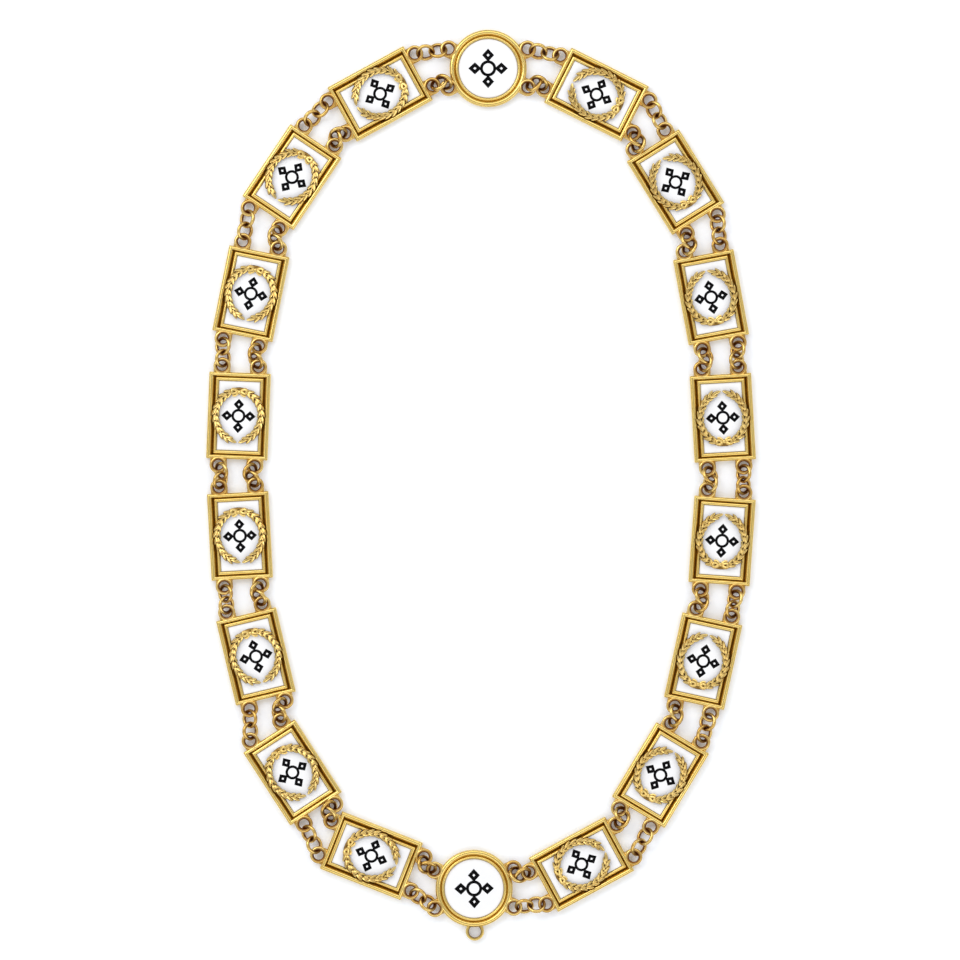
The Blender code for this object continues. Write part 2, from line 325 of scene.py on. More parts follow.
class Shape:
    def __init__(self):
        self.points = []
        self.faces = []
        self.recess = []
        self.finish = []  # which material of the piece each face takes

    def skin(self, sections, marks, closed=False):
        # through equal loops of points, with one mark a loop or one a point
        count = len(sections[0])
        for section, mark in zip(sections, marks):
            self.points += section
            self.recess += mark if isinstance(mark, list) else [mark] * count
        rows = len(sections)
        for row in range(rows if closed else rows - 1):
            here = row * count
            there = (row + 1) % rows * count
            for side in range(count):
                turn = (side + 1) % count
                self.faces.append((here + side, here + turn, there + turn, there + side))
        if not closed:
            self.faces.append(tuple(reversed(range(count))))
            self.faces.append(tuple(range((rows - 1) * count, rows * count)))
        self.finish = [0] * len(self.faces)
        return self

    def add(self, other, matrix=None, finish=None):
        start = len(self.points)
        matrix = matrix or Matrix()
        flipped = matrix.determinant() < 0
        self.points += [matrix @ Vector(point) for point in other.points]
        for face in other.faces:
            moved = tuple(start + index for index in face)
            self.faces.append(moved[::-1] if flipped else moved)
        self.recess += other.recess
        self.finish += other.finish if finish is None else [finish] * len(other.faces)
        return self

    def piece(self, name, materials, sharp=35):
        data = bpy.data.meshes.new(name)
        data.from_pydata(self.points, [], self.faces)
        for material in materials:
            data.materials.append(material)
        data.polygons.foreach_set("material_index", self.finish)
        # the recess marks set where the finishes paint shade
        marks = data.attributes.new("recess", "FLOAT", "POINT")
        marks.data.foreach_set("value", self.recess)
        data.shade_smooth()
        data.set_sharp_from_angle(angle=math.radians(sharp))
        made = bpy.data.objects.new(name, data)
        scene.collection.objects.link(made)
        return made


def asShape(data):
    shape = Shape()
    shape.points = [v.co.copy() for v in data.vertices]
    shape.faces = [tuple(p.vertices) for p in data.polygons]
    shape.recess = [item.value for item in data.attributes["recess"].data]
    shape.finish = [0] * len(shape.faces)
    return shape


def arcPoints(steps, first, last):
    return [first + (last - first) * step / steps for step in range(steps + 1)]


def roundTurns(count):
    return [math.tau * step / count for step in range(count)]


def cornerTurns():
    # a turn in four quarters, each with the side of x and of y that it rounds off
    quarterSteps = 4
    for quarter, (sx, sy) in enumerate(((1, 1), (-1, 1), (-1, -1), (1, -1))):
        for turn in arcPoints(quarterSteps, quarter * math.pi / 2, (quarter + 1) * math.pi / 2):
            yield sx, sy, turn


def circlePoints(radius, count):
    return [(radius * math.cos(turn), radius * math.sin(turn)) for turn in roundTurns(count)]


def tube(path, radii, sides, marks, closed=False, depth=1.0):
    # a round or upright oval bar along a path of points that stays level or nearly so
    sections = []
    for index, point in enumerate(path):
        before = path[index - 1] if closed or index else path[0]
        after = path[(index + 1) % len(path)] if closed or index < len(path) - 1 else path[-1]
        ahead = (after - before).normalized()
        side = ahead.cross(Vector((0, 0, 1))).normalized()
        up = side.cross(ahead)
        ring = []
        for turn in roundTurns(sides):
            ring.append(point + (side * math.cos(turn) + up * math.sin(turn) * depth) * radii[index])
        sections.append(ring)
    return Shape().skin(sections, marks, closed)


def hoop(path, wire, around, depth=1.0):
    # a closed tube that has the same marks around its section everywhere
    return tube(path, [wire] * len(path), len(around), [around] * len(path), closed=True, depth=depth)


def bar(rows, wire, sides, depth=1.0):
    # an open tube through rows of (point, share of the wire, recess)
    path, shares, marks = zip(*rows)
    return tube(path, [wire * share for share in shares], sides, marks, depth=depth)


# frames and rims: a big bead, a dark groove and a small bead

sideMoulding = {
    "bigBead": 2.4 * mm,
    "bigCrest": 4.2 * mm,
    "shoulder": 2.9 * mm,
    "groove": 1.15 * mm,
    "grooveFloor": 1.7 * mm,
    "grooveRows": (  # share of the width, share of the depth and recess
        (0.2, 0.5, 0.6),
        (0.5, 1.0, 0.85),
        (0.8, 0.5, 0.6),
    ),
    "smallBead": 1.5 * mm,
    "smallCrest": 3.65 * mm,
    "beadFoot": 0.45,  # recess where a bead starts
    "beadSteps": 10,
    "floor": 2.2 * mm,
    "wallFoot": (0.03 * mm, 0.2 * mm),  # how far past the beads and how far above the floor
    "lip": 0.3 * mm,
    "edge": 0.25 * mm,
}
endMoulding = {**sideMoulding, "bigBead": 2.2 * mm, "groove": 0.38 * mm, "smallBead": 1.72 * mm}
rimMoulding = {
    **sideMoulding,
    "bigBead": 2.65 * mm,
    "groove": 0.35 * mm,
    "grooveFloor": 2.7 * mm,
    "smallBead": 1.45 * mm,
    "smallCrest": 3.8 * mm,
}
plateSize = {
    "width": 30.8 * mm,
    "length": 43.4 * mm,
    "corner": 0.5 * mm,
    "cornerLoss": 0.4,  # of the inset
    "leastCorner": 0.04 * mm,
}
rimSize = {"radius": 19.3 * mm, "segments": 120}


def barWidth(m):
    return m["bigBead"] + m["groove"] + m["smallBead"]


def mouldingRows(m):
    # (inset, height, recess) from the underside, over the beads and down to the enamel's bed
    # the recess of each row is painted shade on the gold: under the frame, at the bead feet, in the groove
    # and on the enamel's bed
    rows = [(m["edge"], 0.0, 0.3), (0.0, m["edge"], 0.5), (0.0, m["shoulder"] * 0.6, 0.15)]

    def bead(start, width, crest):
        for turn in arcPoints(m["beadSteps"], 0.0, math.pi):
            across = start + width / 2 * (1 - math.cos(turn))
            height = m["shoulder"] + (crest - m["shoulder"]) * math.sin(turn)
            rows.append((across, height, m["beadFoot"] * (1 - math.sin(turn)) ** 3))

    bead(0.0, m["bigBead"], m["bigCrest"])
    for place, depth, recess in m["grooveRows"]:
        height = m["shoulder"] + (m["grooveFloor"] - m["shoulder"]) * depth
        rows.append((m["bigBead"] + m["groove"] * place, height, recess))
    bead(m["bigBead"] + m["groove"], m["smallBead"], m["smallCrest"])
    inwards, upwards = m["wallFoot"]
    rows.append((barWidth(m) + inwards, m["floor"] + upwards, 1.0))
    rows.append((barWidth(m) + m["lip"], m["floor"], 1.0))
    return rows


def rectangleLoop(side, end):
    halfWidth = plateSize["width"] / 2 - side
    halfLength = plateSize["length"] / 2 - end
    radius = max(plateSize["leastCorner"], plateSize["corner"] - side * plateSize["cornerLoss"])
    loop = []
    for sx, sy, turn in cornerTurns():
        x = sx * (halfWidth - radius) + radius * math.cos(turn)
        y = sy * (halfLength - radius) + radius * math.sin(turn)
        loop.append((x, y))
    return loop


def circleLoop(side, end):  # a round casting has the same moulding all the way round
    return circlePoints(rimSize["radius"] - side, rimSize["segments"])


def frameShape(loop, side, end):
    sections, marks = [], []
    for (across, height, mark), (along, _, _) in zip(mouldingRows(side), mouldingRows(end)):
        sections.append([Vector((x, y, height)) for x, y in loop(across, along)])
        marks.append(mark)
    return Shape().skin(sections, marks)


# eyelets: a closed loop of deep oval section, with two straight legs into the frame

eyelet = {
    "radius": 3.38 * mm,
    "wire": 0.98 * mm,
    "depth": 0.88,
    "height": 3.42 * mm,
    "segments": 44,
    "sides": 16,
    # where painted shade starts on the inner side of the loop, and how strong it is
    "paintedShadeFrom": 0.35,
    "paintedShade": 1.1,
    "legWire": 0.9 * mm,
    "legDepth": 1.75,
    "legHeight": 2.2 * mm,
    "legSides": 12,
    # the legs take more painted shade as they run into the frame
    "legRows": (  # place, share of the wire and recess
        (0.3 * mm, 0.85, 0.0),
        (-1.2 * mm, 1.0, 0.15),
        (-4.0 * mm, 0.95, 0.6),
    ),
    "across": 9.1 * mm,
    "along": plateSize["length"] / 2 + 3.0 * mm,
    "rimAcross": 9.6 * mm,
    "rimAlong": 19.7 * mm,
}


def eyeletShape():
    e = eyelet
    path = [Vector((x, y, e["height"])) for x, y in circlePoints(e["radius"], e["segments"])]
    # painted shade on the inner side of the loop
    inside = []
    for turn in roundTurns(e["sides"]):
        inside.append(min(1.0, max(0.0, e["paintedShadeFrom"] - math.cos(turn)) * e["paintedShade"]))
    shape = hoop(path, e["wire"], inside, e["depth"])
    for side in (1, -1):
        leg = []
        for y, share, mark in e["legRows"]:
            leg.append((Vector((side * e["radius"], y, e["legHeight"])), share, mark))
        shape.add(bar(leg, e["legWire"], e["legSides"], e["legDepth"]))
    return shape


def eyeletSpots(medallion):
    # own place and facing of the four eyelets of a casting
    e = eyelet
    across, along = (e["rimAcross"], e["rimAlong"]) if medallion else (e["across"], e["along"])
    spots = {}
    for end in (1, -1):
        for side in (1, -1):
            x, y = side * across, end * along
            facing = math.atan2(y, x) if medallion else end * math.pi / 2
            spots[end, side] = Matrix.Translation((x, y, 0)) @ Matrix.Rotation(facing - math.pi / 2, 4, "Z")
    return spots


# the eye for a jewel below the bottom medallion

jewelEye = {
    "place": 21.5 * mm,
    "hole": 3.0 * mm,
    "outer": 4.55 * mm,
    "low": 0.3 * mm,
    "high": 3.0 * mm,
    "round": 0.5 * mm,
    "segments": 44,
    # where painted shade starts on the inner side of the eye
    "paintedShadeFrom": 0.3,
}


def jewelEyeShape():
    # a tall ring with rounded edges, which runs into the rim at one side
    j = jewelEye
    middle, half = (j["outer"] + j["hole"]) / 2, (j["outer"] - j["hole"]) / 2
    level, tall = (j["high"] + j["low"]) / 2, (j["high"] - j["low"]) / 2
    outline = []
    for sx, sz, turn in cornerTurns():
        u = sx * (half - j["round"]) + j["round"] * math.cos(turn)
        outline.append((u, level + sz * (tall - j["round"]) + j["round"] * math.sin(turn)))
    outline.reverse()
    # painted shade on the inner side of the eye
    inside = [min(1.0, max(0.0, j["paintedShadeFrom"] - u / half)) for u, _ in outline]
    sections = []
    for turn in roundTurns(j["segments"]):
        outward = Vector((math.cos(turn), math.sin(turn), 0))
        sections.append([outward * (middle + u) + Vector((j["place"], 0, z)) for u, z in outline])
    return Shape().skin(sections, [inside] * len(sections), closed=True)


# laurel wreath: rows of leaves on two branches, made with Geometry Nodes

wreath = {
    "across": 11.5 * mm,
    "along": 12.8 * mm,
    "level": 3.5 * mm,
    "stations": 10,
    "tipAngle": 3.0,
    "knotAngle": 162.0,
    "knotGap": 0.8,  # of a station
    "splay": 23.0,
    "jitter": 0.08,
    "sizeJitter": 0.6,  # times the jitter
    "seed": 7,
    "webWidth": 1.5 * mm,
    "webDepth": 0.35,
    "webLevel": 3.2 * mm,
    "webSteps": 26,
    "webSides": 10,
    "webStart": 0.7,  # of a leaf's length from the tip
    "webTip": 0.4,
    "webOverlap": 0.05,
}
leafForm = {
    "length": 4.9 * mm,
    "width": 1.8 * mm,
    "thick": 0.95 * mm,
    "rows": (  # width, place and swell, from the stalk to the tip
        (0.30, 0.0, 0.35),
        (0.74, 0.13, 0.75),
        (0.98, 0.32, 1.0),
        (1.0, 0.52, 1.0),
        (0.90, 0.70, 0.9),
        (0.64, 0.87, 0.7),
        (0.14, 1.0, 0.3),
    ),
    "columns": (  # place, rise and recess, from side to side
        (-1.0, 0.1, 1.0),
        (-0.55, 0.92, 0.0),
        (0.0, 0.78, 0.5),
        (0.55, 0.92, 0.0),
        (1.0, 0.1, 1.0),
    ),
    "stalkReach": 0.2,
    "stalkRecess": 0.7,
    "underWidth": 0.9,
    "underDepth": 0.6,
    "sharp": 60,
}


def leafPattern():
    # a pointed leaf from its stalk at the origin to its tip at +Y, with a crease along the middle
    form = leafForm
    shape = Shape()
    for width, place, swell in form["rows"]:
        for column, rise, recess in form["columns"]:
            x = column * width * form["width"] / 2
            shape.points.append(Vector((x, place * form["length"], rise * swell * form["thick"])))
            # painted shade at the leaf's edges and near its stalk, where the leaves overlap
            shape.recess.append(recess + (form["stalkRecess"] if place < form["stalkReach"] else 0.0))
    count = len(form["columns"])
    last = (len(form["rows"]) - 1) * count
    for row in range(0, last, count):
        for a in range(row, row + count - 1):
            shape.faces.append((a, a + 1, a + count + 1, a + count))
    # round the outline: along the stalk's end, up one side, across the tip and down the other side
    border = [*range(count - 1), *range(count - 1, last, count)]
    border += [*range(last + count - 1, last, -1), *range(last, 0, -count)]
    under = len(shape.points)
    for index in border:
        x, y, _ = shape.points[index]
        shape.points.append(Vector((x * form["underWidth"], y, -form["underDepth"] * form["thick"])))
        # the underside takes full painted shade
        shape.recess.append(1.0)
    for step, index in enumerate(border):
        after = (step + 1) % len(border)
        shape.faces.append((border[after], index, under + step, under + after))
    shape.faces.append(tuple(reversed(range(under, under + len(border)))))
    shape.finish = [0] * len(shape.faces)
    return shape.piece("leafPattern", [castGold], form["sharp"])


def rowTree():
    # copies of a leaf along an oval, from its first angle to its last
    measures = ("Across", "Along", "First Angle", "Last Angle", "Level", "Splay", "Pitch", "Size", "Jitter")
    wanted = {"Leaf": "Object", "Count": "Int", **dict.fromkeys(measures, "Float"), "Seed": "Int"}
    bench = Grower("rowOnArc", {**wanted, "Finish": "Material"})
    given = bench.given
    steps = bench.maths("MAXIMUM", given["Count"] - 1.0, 1.0)
    share = bench.node("GeometryNodeInputIndex", {}) / steps
    reach = given["Last Angle"] - given["First Angle"]
    angle = bench.maths("MULTIPLY_ADD", share, reach, given["First Angle"])
    wobble = bench.node(
        "FunctionNodeRandomValue",
        {0: (-1.0, -1.0, -1.0), 1: (1.0, 1.0, 1.0), "Seed": given["Seed"]},
        data_type="FLOAT_VECTOR",
    )
    turned, pitched, sized = bench.split(wobble)
    sine, cosine = bench.maths("SINE", angle), bench.maths("COSINE", angle)
    place = bench.join(sine * given["Across"], cosine * given["Along"], given["Level"])
    # a leaf's own +Y lies along the oval, towards the branch's tip, turned by the splay
    ahead = bench.maths("ARCTAN2", cosine * given["Across"], sine * given["Along"])
    turn = bench.maths("MULTIPLY_ADD", turned, given["Jitter"], ahead) + given["Splay"]
    pitch = bench.maths("MULTIPLY_ADD", pitched, given["Jitter"], given["Pitch"])
    size = bench.maths("MULTIPLY_ADD", sized, given["Jitter"] * wreath["sizeJitter"], given["Size"])
    line = bench.node("GeometryNodeMeshLine", {"Count": given["Count"], "Offset": (0.0, 0.0, 0.0)})
    spots = bench.node("GeometryNodeSetPosition", {"Geometry": line, "Position": place})
    leaf = bench.node("GeometryNodeObjectInfo", {"Object": given["Leaf"], "As Instance": True}, out=4)
    facing, sizes = bench.join(pitch, 0.0, turn), bench.join(size, size, size)
    copies = {"Points": spots, "Instance": leaf, "Rotation": facing, "Scale": sizes}
    return bench.done(bench.node("GeometryNodeInstanceOnPoints", copies))


def grown(tree, name, inputs, points=None):
    # runs a tree on an empty mesh, or on the points given, and returns the result as a plain mesh
    carrier = bpy.data.objects.new(name, points or bpy.data.meshes.new(name))
    scene.collection.objects.link(carrier)
    modifier = carrier.modifiers.new("grow", "NODES")
    modifier.node_group = tree
    sockets = {item.name: item.identifier for item in tree.interface.items_tree if item.in_out == "INPUT"}
    for key, value in inputs.items():
        modifier[sockets[key]] = value
    bpy.context.view_layer.update()
    made = bpy.data.meshes.new_from_object(carrier.evaluated_get(bpy.context.evaluated_depsgraph_get()))
    bpy.data.objects.remove(carrier)
    return made


bow = {
    "place": 0.8 * mm,
    "level": 3.95 * mm,
    "loopPlace": 2.3 * mm,
    "loopLength": 1.4 * mm,
    "loopWidth": 0.9 * mm,
    "loopFlare": 0.5,
    "loopShift": 0.15 * mm,
    "loopRise": 0.4 * mm,
    "loopSteps": 32,
    "band": 0.9 * mm,
    "bandSides": 14,
    "bandRecess": 0.8,
    "tail": 0.62 * mm,
    "tailDrop": 0.35 * mm,
    "tailSides": 8,
    "tailRows": (  # x, y, share of the tail's radius and recess
        (0.4 * mm, -0.4 * mm, 0.9, 0.4),
        (1.2 * mm, -1.2 * mm, 1.0, 0.2),
        (2.2 * mm, -1.85 * mm, 1.1, 0.1),
        (3.4 * mm, -2.1 * mm, 0.55, 0.1),
    ),
    "knot": (1.05 * mm, 1.155 * mm, 0.84 * mm),
    "knotPlace": (0, -0.1 * mm, 4.05 * mm),
    "knotSides": 14,
    "knotSteps": 8,
    "knotPole": 0.08,  # the angle of the small flat at its top and underside
    # the upper share of the knot's steps stays free of painted shade; the lower steps take it
    "knotUnshaded": 0.45,  # of its steps, from the top
    "knotRecess": 0.8,
}


def knotShape():
    b = bow
    wide, long, tall = b["knot"]
    sections, marks = [], []
    for step, turn in enumerate(arcPoints(b["knotSteps"], b["knotPole"], math.pi - b["knotPole"])):
        ring = []
        for angle in roundTurns(b["knotSides"]):
            x, y = wide * math.cos(-angle), long * math.sin(-angle)
            offset = Vector((x * math.sin(turn), y * math.sin(turn), tall * math.cos(turn)))
            ring.append(Vector(b["knotPlace"]) + offset)
        sections.append(ring)
        # painted shade on the knot's lower part
        marks.append(0.0 if step < b["knotSteps"] * b["knotUnshaded"] else b["knotRecess"])
    return Shape().skin(sections, marks)


def bowShape():
    b = bow
    shape = Shape()
    # painted shade on the inner side of each loop
    inside = [b["bandRecess"] * max(0.0, -math.cos(turn)) for turn in roundTurns(b["bandSides"])]
    for side in (1, -1):
        path = []
        for turn in roundTurns(b["loopSteps"]):
            x = side * (b["loopPlace"] + b["loopLength"] * math.cos(turn))
            y = b["loopWidth"] * math.sin(turn) * (1 + b["loopFlare"] * math.cos(turn)) + b["loopShift"]
            path.append(Vector((x, y, b["level"] + b["loopRise"] * math.cos(turn))))
        if side < 0:
            path.reverse()
        shape.add(hoop(path, b["band"], inside))
        tail = []
        # the tails take painted shade towards the knot
        for x, y, share, mark in b["tailRows"]:
            tail.append((Vector((side * x, y, b["level"] - b["tailDrop"])), share, mark))
        shape.add(bar(tail, b["tail"], b["tailSides"]))
    return shape.add(knotShape())


def wreathShape():
    w = wreath
    leaf, tree = leafPattern(), rowTree()
    tip, knot = math.radians(w["tipAngle"]), math.radians(w["knotAngle"])
    reach = leafForm["length"] / w["along"]  # the angle that a leaf covers
    slant, curl = math.radians(w["splay"]), reach / 2
    step = (knot - tip - reach) / w["stations"]
    rows = (
        # leaves, splay, lift, size, pitch and how far the first leaf is from the tip, in stations
        (w["stations"], curl - slant, 0.0, 1.0, 12, 1.0),
        (w["stations"], curl + slant, 0.0, 0.95, 12, 0.8),
        (w["stations"], curl * 0.7, 0.3 * mm, 0.62, 13, 0.75),
        (1, curl, 0.1 * mm, 1.2, 9, 0.0),
    )
    branch = Shape()
    for number, (count, splay, lift, size, pitch, shift) in enumerate(rows):
        inputs = {
            "Leaf": leaf,
            "Count": count,
            "Across": w["across"],
            "Along": w["along"],
            "First Angle": tip + reach * size + step * shift,
            "Last Angle": knot + step * (shift - w["knotGap"]),
            "Level": w["level"] + lift,
            "Splay": splay,
            "Pitch": math.radians(pitch),
            "Size": size,
            "Jitter": w["jitter"],
            "Seed": w["seed"] + number,
            "Finish": castGold,
        }
        branch.add(asShape(grown(tree, "row", inputs)))
    web = []  # the thin bar that the leaves stand on
    for turn in arcPoints(w["webSteps"], tip + reach * w["webStart"], math.pi + w["webOverlap"]):
        spot = Vector((math.sin(turn) * w["across"], math.cos(turn) * w["along"], w["webLevel"]))
        # the web under the leaves takes full painted shade along its length
        web.append((spot, 1.0 if web else w["webTip"], 1.0))
    branch.add(bar(web, w["webWidth"], w["webSides"], w["webDepth"]))
    both = Shape().add(branch).add(branch, Matrix.Scale(-1, 4, (1, 0, 0)))
    bowPlace = Matrix.Translation((0, bow["place"] - w["along"], 0))
    both.add(bowShape(), bowPlace @ Matrix.Rotation(math.pi, 4, "Z"))
    bpy.data.objects.remove(leaf)
    return both


# enamels and the figure on each

enamel = {
    "low": 2.0 * mm,
    "top": 2.62 * mm,
    "gap": 0.1 * mm,
    "dome": 0.12 * mm,
    "plateSpan": 8 * mm,  # how far in the dome goes on rising
    "rimSpan": 12 * mm,
    # the recess of the rows near the frame is painted shade on the enamel
    "edgeRows": (  # inset, share of the height and recess
        (0.0, 0.0, 1.0),
        (0.0, 0.72, 0.9),
        (0.077 * mm, 0.93, 0.55),
    ),
    "domeRows": (  # inset and recess
        (0.22 * mm, 0.25),
        (0.82 * mm, 0.1),
        (1.82 * mm, 0.0),
        (3.22 * mm, 0.0),
        (5.22 * mm, 0.0),
        (7.72 * mm, 0.0),
    ),
}


def enamelShape(loop, side, end, span):
    e = enamel
    rows = []
    for inset, share, mark in e["edgeRows"]:
        rows.append((e["gap"] + inset, e["low"] + (e["top"] - e["low"]) * share, mark))
    for inset, mark in e["domeRows"]:
        flat = 1 - min(1.0, (e["gap"] + inset) / span)
        rows.append((e["gap"] + inset, e["top"] + e["dome"] * (1 - flat**2), mark))
    sections = []
    for inset, height, _ in rows:
        outline = loop(barWidth(side) + inset, barWidth(end) + inset)
        sections.append([Vector((x, y, height)) for x, y in outline])
    return Shape().skin(sections, [mark for _, _, mark in rows])


figure = {
    "ringOuter": 3.5 * mm,
    "ringInner": 2.25 * mm,
    "ringSegments": 56,
    "rays": 4,
    "rayStart": 2.9 * mm,
    "rayEnd": 8.6 * mm,
    "rayHalf": 2.6 * mm,
    "stroke": 1.45 * mm,
    "low": 2.55 * mm,
    "top": 2.86 * mm,
    "rayTop": 2.83 * mm,
    "edge": 0.07 * mm,
    "medallionScale": 1.15,
}


def outlineShape(outer, inner, top):
    # a flat band between two loops of the same count, with softened upper edges
    wall = ((0.0, figure["low"]), (0.0, top - figure["edge"]), (figure["edge"], top))
    sections = []
    for near, far, rows in ((outer, inner, wall), (inner, outer, wall[::-1])):
        for inset, height in rows:
            points = [a + (b - a).normalized() * inset for a, b in zip(near, far)]
            sections.append([Vector((*point, height)) for point in points])
    return Shape().skin(sections, [0.0] * len(sections), closed=True)


def figureShape():
    f = figure
    circles = []
    for radius in (f["ringOuter"], f["ringInner"]):
        circles.append([Vector(point) for point in circlePoints(radius, f["ringSegments"])])
    shape = Shape().add(outlineShape(*circles, f["top"]))
    middle = (f["rayStart"] + f["rayEnd"]) / 2
    long, wide = (f["rayEnd"] - f["rayStart"]) / 2, f["rayHalf"]
    shrink = 1 - f["stroke"] * math.hypot(long, wide) / (long * wide)
    corners = ((0, long), (-wide, 0), (0, -long), (wide, 0))
    outer = [Vector((x, y + middle)) for x, y in corners]
    inner = [Vector((x * shrink, y * shrink + middle)) for x, y in corners]
    ray = outlineShape(outer, inner, f["rayTop"])
    for turn in roundTurns(f["rays"]):
        shape.add(ray, Matrix.Rotation(turn, 4, "Z"))
    return shape


# rings between the castings, made with Geometry Nodes on one point a ring

ringSizes = {
    "radius": 3.95 * mm,
    "wire": 0.9 * mm,
    "cut": 0.05 * mm,
    "cutAngle": 0.9,
    "segments": 49,
    "sides": 14,
    "endsFrom": 0.3,  # how far along a ring the painted shade of its ends begins
    "endsRecess": 0.9,
    "overTable": 0.06 * mm,
    "tilt": (39.0, 46.0),  # where a row is drawn out, and where it is bunched
    "rise": (2.0, 14.0),
    "tiltSpread": 3.0,
    "swing": (2.0, 9.0),
    "swingSpread": (-0.3, 1.0),
    "drawnSpan": 15.0 * mm,
    "bunchedSpan": 10.0 * mm,
    "leastReach": -0.2 * mm,
    "mostReach": 1.5 * mm,
    "hold": 0.92 * mm,
    "clearance": (5.1 * mm, 4.2 * mm),  # of the ring that passes under the other eyelet, and over it
    "seed": 3,
    "sharp": 40,
}


def ringPose(spot, facing, reach, tilt, rise):
    r = ringSizes
    flat = Vector((math.cos(facing), math.sin(facing), 0))
    forward = flat * math.cos(rise) + Vector((0, 0, math.sin(rise)))
    sideways = Vector((-flat.y, flat.x, 0))
    across = sideways * math.cos(tilt) + forward.cross(sideways) * math.sin(tilt)
    lift = r["radius"] * math.hypot(math.sin(rise), math.sin(tilt) * math.cos(rise))
    level = r["overTable"] + r["wire"] + lift
    middle = Vector((spot.x, spot.y, level)) + flat * (reach + r["radius"] * math.cos(rise))
    turned = Matrix((forward, across, forward.cross(across))).transposed()
    return middle, turned.to_euler()


def ringPair(start, end, side, chance):
    # each ring hangs in its own eyelet and leans aside until it is clear of the other eyelet
    r = ringSizes
    span = (end - start).length
    heading = math.atan2(end.y - start.y, end.x - start.x)
    slack = min(1.0, max(0.0, (r["drawnSpan"] - span) / (r["drawnSpan"] - r["bunchedSpan"])))

    def bySlack(key):
        drawn, bunched = r[key]
        return drawn + (bunched - drawn) * slack

    rise = math.radians(bySlack("rise"))
    length = 2 * r["radius"] * math.cos(rise)
    reach = min(r["mostReach"], max(r["leastReach"], span / 2 + r["hold"] - length))
    far = reach + length
    found = []
    for place, clearance in enumerate(r["clearance"]):
        lean = math.acos(min(1.0, (far**2 + span**2 - clearance**2) / (2 * far * span)))
        lean += math.radians(bySlack("swing")) * chance.uniform(*r["swingSpread"])
        tilt = math.radians(bySlack("tilt") + chance.uniform(-1, 1) * r["tiltSpread"])
        spot = end if place else start
        facing = heading + (math.pi - side * lean if place else side * lean)
        found.append(ringPose(spot, facing, reach, side * tilt, rise))
    return found


def eyeletSpot(name, end, side):
    return (poses[name] @ eyeletSpots(isMedallion(name))[end, side]).translation.to_2d()


def ringPoses():
    rows = {1: [], -1: []}
    chance = random.Random(ringSizes["seed"])
    for index, name in enumerate(unitNames):
        for side in (1, -1):
            start, end = eyeletSpot(name, 1, side), eyeletSpot(nextUnit(index), -1, side)
            rows[side] += ringPair(start, end, side, chance)
    return rows


def ringTree():
    # a ring with a cut on each point, turned as the point says
    r = ringSizes
    wanted = {"Radius": "Float", "Wire": "Float", "Cut": "Float", "Finish": "Material"}
    bench = Grower("ringsOnPoints", wanted)
    given = bench.given
    radius, wire = given["Radius"], given["Wire"]
    sweep = math.tau - given["Cut"] / radius
    arc = {"Resolution": r["segments"], "Radius": radius, "Start Angle": r["cutAngle"], "Sweep Angle": sweep}
    bend = bench.node("GeometryNodeCurveArc", arc, mode="RADIUS")
    circle = {"Resolution": r["sides"], "Radius": wire}
    section = bench.node("GeometryNodeCurvePrimitiveCircle", circle, mode="RADIUS")
    ring = bench.node("GeometryNodeCurveToMesh", {"Curve": bend, "Profile Curve": section, "Fill Caps": True})
    # painted shade sits on its inner side and where it passes through an eyelet or the next ring
    spot = bench.node("GeometryNodeInputPosition", {})
    away = bench.node("ShaderNodeVectorMath", {0: spot}, out=1, operation="LENGTH")
    along = bench.maths("ABSOLUTE", bench.split(spot)[0]) / radius
    limits = {"Value": along, "From Min": r["endsFrom"], "To Max": r["endsRecess"]}
    ringShade = (radius - away) / wire + bench.node("ShaderNodeMapRange", limits)
    marks = {"Geometry": ring, "Name": "recess", "Value": ringShade}
    marked = bench.node("GeometryNodeStoreNamedAttribute", marks)
    turn = bench.node("GeometryNodeInputNamedAttribute", {"Name": "turn"}, data_type="FLOAT_VECTOR")
    copies = {"Points": given["Geometry"], "Instance": marked, "Rotation": turn}
    return bench.done(bench.node("GeometryNodeInstanceOnPoints", copies))


def ringRow(tree, name, spots):
    r = ringSizes
    data = bpy.data.meshes.new(name + "Points")
    data.from_pydata([middle for middle, _ in spots], [], [])
    turns = data.attributes.new("turn", "FLOAT_VECTOR", "POINT")
    turns.data.foreach_set("vector", [value for _, turn in spots for value in turn])
    inputs = {"Radius": r["radius"], "Wire": r["wire"], "Cut": r["cut"], "Finish": linkGold}
    return asShape(grown(tree, name, inputs, data)).piece(name, [linkGold], r["sharp"])


# put together

castingFinishes = [polishedGold, castGold, linkGold]
leafFinish, eyeletFinish = 1, 2  # places in that list
leaves = wreathShape()
print("wreath:", len(leaves.faces), "faces")
loop = eyeletShape()
plate = frameShape(rectangleLoop, sideMoulding, endMoulding).add(leaves, finish=leafFinish)
for spot in eyeletSpots(False).values():
    plate.add(loop, spot, eyeletFinish)
rims = {}
for name in ("top", "bottom"):
    rims[name] = frameShape(circleLoop, rimMoulding, rimMoulding)
    for spot in eyeletSpots(True).values():
        rims[name].add(loop, spot, eyeletFinish)
rims["bottom"].add(jewelEyeShape())

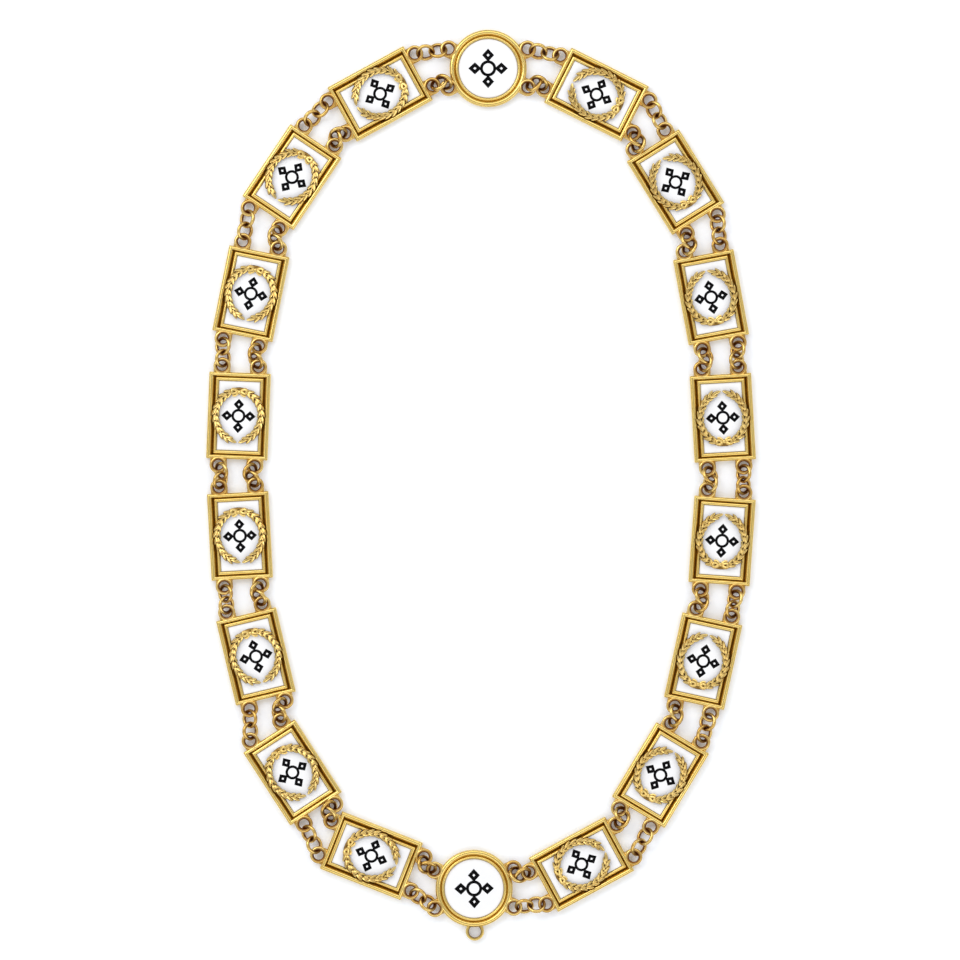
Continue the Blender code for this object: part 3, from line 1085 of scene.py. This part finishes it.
plateEnamel = enamelShape(rectangleLoop, sideMoulding, endMoulding, enamel["plateSpan"])
rimEnamel = enamelShape(circleLoop, rimMoulding, rimMoulding, enamel["rimSpan"])
for name in unitNames:
    medallion = isMedallion(name)
    casting = Shape().add(rims[name] if medallion else plate, poses[name])
    node = ("rim_" if medallion else "plate_") + name
    piece = casting.piece(node + "_casting", castingFinishes)
    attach(piece, "root")
    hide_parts(node)
    glass = Shape().add(rimEnamel if medallion else plateEnamel, poses[name])
    tile = glass.piece("enamel_" + name + "_tile", [whiteEnamel])
    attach(tile, "root")
    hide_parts("enamel_" + name)
sign = figureShape()
signs = Shape()
for name in unitNames:
    size = figure["medallionScale"] if isMedallion(name) else 1.0
    signs.add(sign, poses[name] @ Matrix.Diagonal((size, size, 1, 1)))
inked = signs.piece("figures", [blackEnamel])
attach(inked, "root")
print("castings, enamels and figures")

tree = ringTree()
rows = ringPoses()
outer = ringRow(tree, "outerRings", rows[1])
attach(outer, "root")
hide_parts(*[f"links_{n:02d}" for n in range(1, 19)])
inner = ringRow(tree, "innerRings", rows[-1])
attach(inner, "root")
print("rings:", len(rows[1]) + len(rows[-1]))


# floor, light and camera

ground = {
    "half": 3.0,
    "drop": 0.2 * mm,
    "colour": (0.915, 0.94, 0.975, 1),
    "roughness": 0.7,
    "specular": 0.2,
    "glow": 0.12,
}
view = {"distance": 3.0, "width": 0.48, "sensor": 36, "middle": (-0.5 * mm, 2.6 * mm), "farthest": 20}


def flatFloor():
    g = ground
    data = bpy.data.meshes.new("floor")
    corners = [(sx * g["half"], sy * g["half"], 0) for sx, sy in ((-1, -1), (1, -1), (1, 1), (-1, 1))]
    data.from_pydata(corners, [], [(0, 1, 2, 3)])
    data.materials.append(Finish("paleFloor").done(
        colour=g["colour"],
        roughness=g["roughness"],
        metallic=0.0,
        specular=g["specular"],
        glow=g["colour"],
        glowStrength=g["glow"],
    ))
    made = bpy.data.objects.new("floor", data)
    made.location.z = -g["drop"]
    scene.collection.objects.link(made)


def softLight(name, place, target, size, power):
    lamp = bpy.data.lights.new(name, "AREA")
    lamp.shape = "RECTANGLE"
    lamp.size, lamp.size_y = size
    lamp.energy = power
    made = bpy.data.objects.new(name, lamp)
    made.location = place
    made.rotation_euler = (Vector(target) - Vector(place)).to_track_quat("-Z", "Y").to_euler()
    scene.collection.objects.link(made)


def studioWorld(zenith, horizon):
    world = bpy.data.worlds.new("studio")
    scene.world = world
    world.use_nodes = True
    bench = Bench(world.node_tree)
    height = bench.split(bench.node("ShaderNodeTexCoord", {}))[2]
    share = bench.node("ShaderNodeMapRange", {"Value": height})
    backdrop = bench.node("ShaderNodeBackground", {"Color": bench.blend(share, horizon, zenith)})
    bench.node("ShaderNodeOutputWorld", {"Surface": backdrop})


flatFloor()
softLight("northSoftbox", (-0.15, 1.05, 1.15), (0, 0.05, 0), (3.0, 1.1), 14.5)
softLight("southSoftbox", (0.15, -1.05, 1.1), (0, -0.05, 0), (3.0, 1.0), 10)
softLight("westSoftbox", (-1.2, 0, 0.95), (-0.05, 0, 0), (2.4, 0.8), 4.7)
softLight("eastSoftbox", (1.2, 0, 0.95), (0.05, 0, 0), (2.4, 0.8), 3.8)
softLight("keyLamp", (-0.75, 0.6, 1.5), (0, 0, 0), (0.5, 0.5), 3)
studioWorld((0.55, 0.56, 0.59, 1), (0.06, 0.06, 0.065, 1))
scene.view_settings.view_transform = "Standard"

camera = bpy.data.cameras.new("camera")
camera.sensor_width = view["sensor"]
camera.lens = view["sensor"] * view["distance"] / view["width"]
camera.clip_end = view["farthest"]
eye = bpy.data.objects.new("camera", camera)
eye.location = (*view["middle"], view["distance"])
scene.collection.objects.link(eye)
scene.camera = eye
print("floor, light and camera")
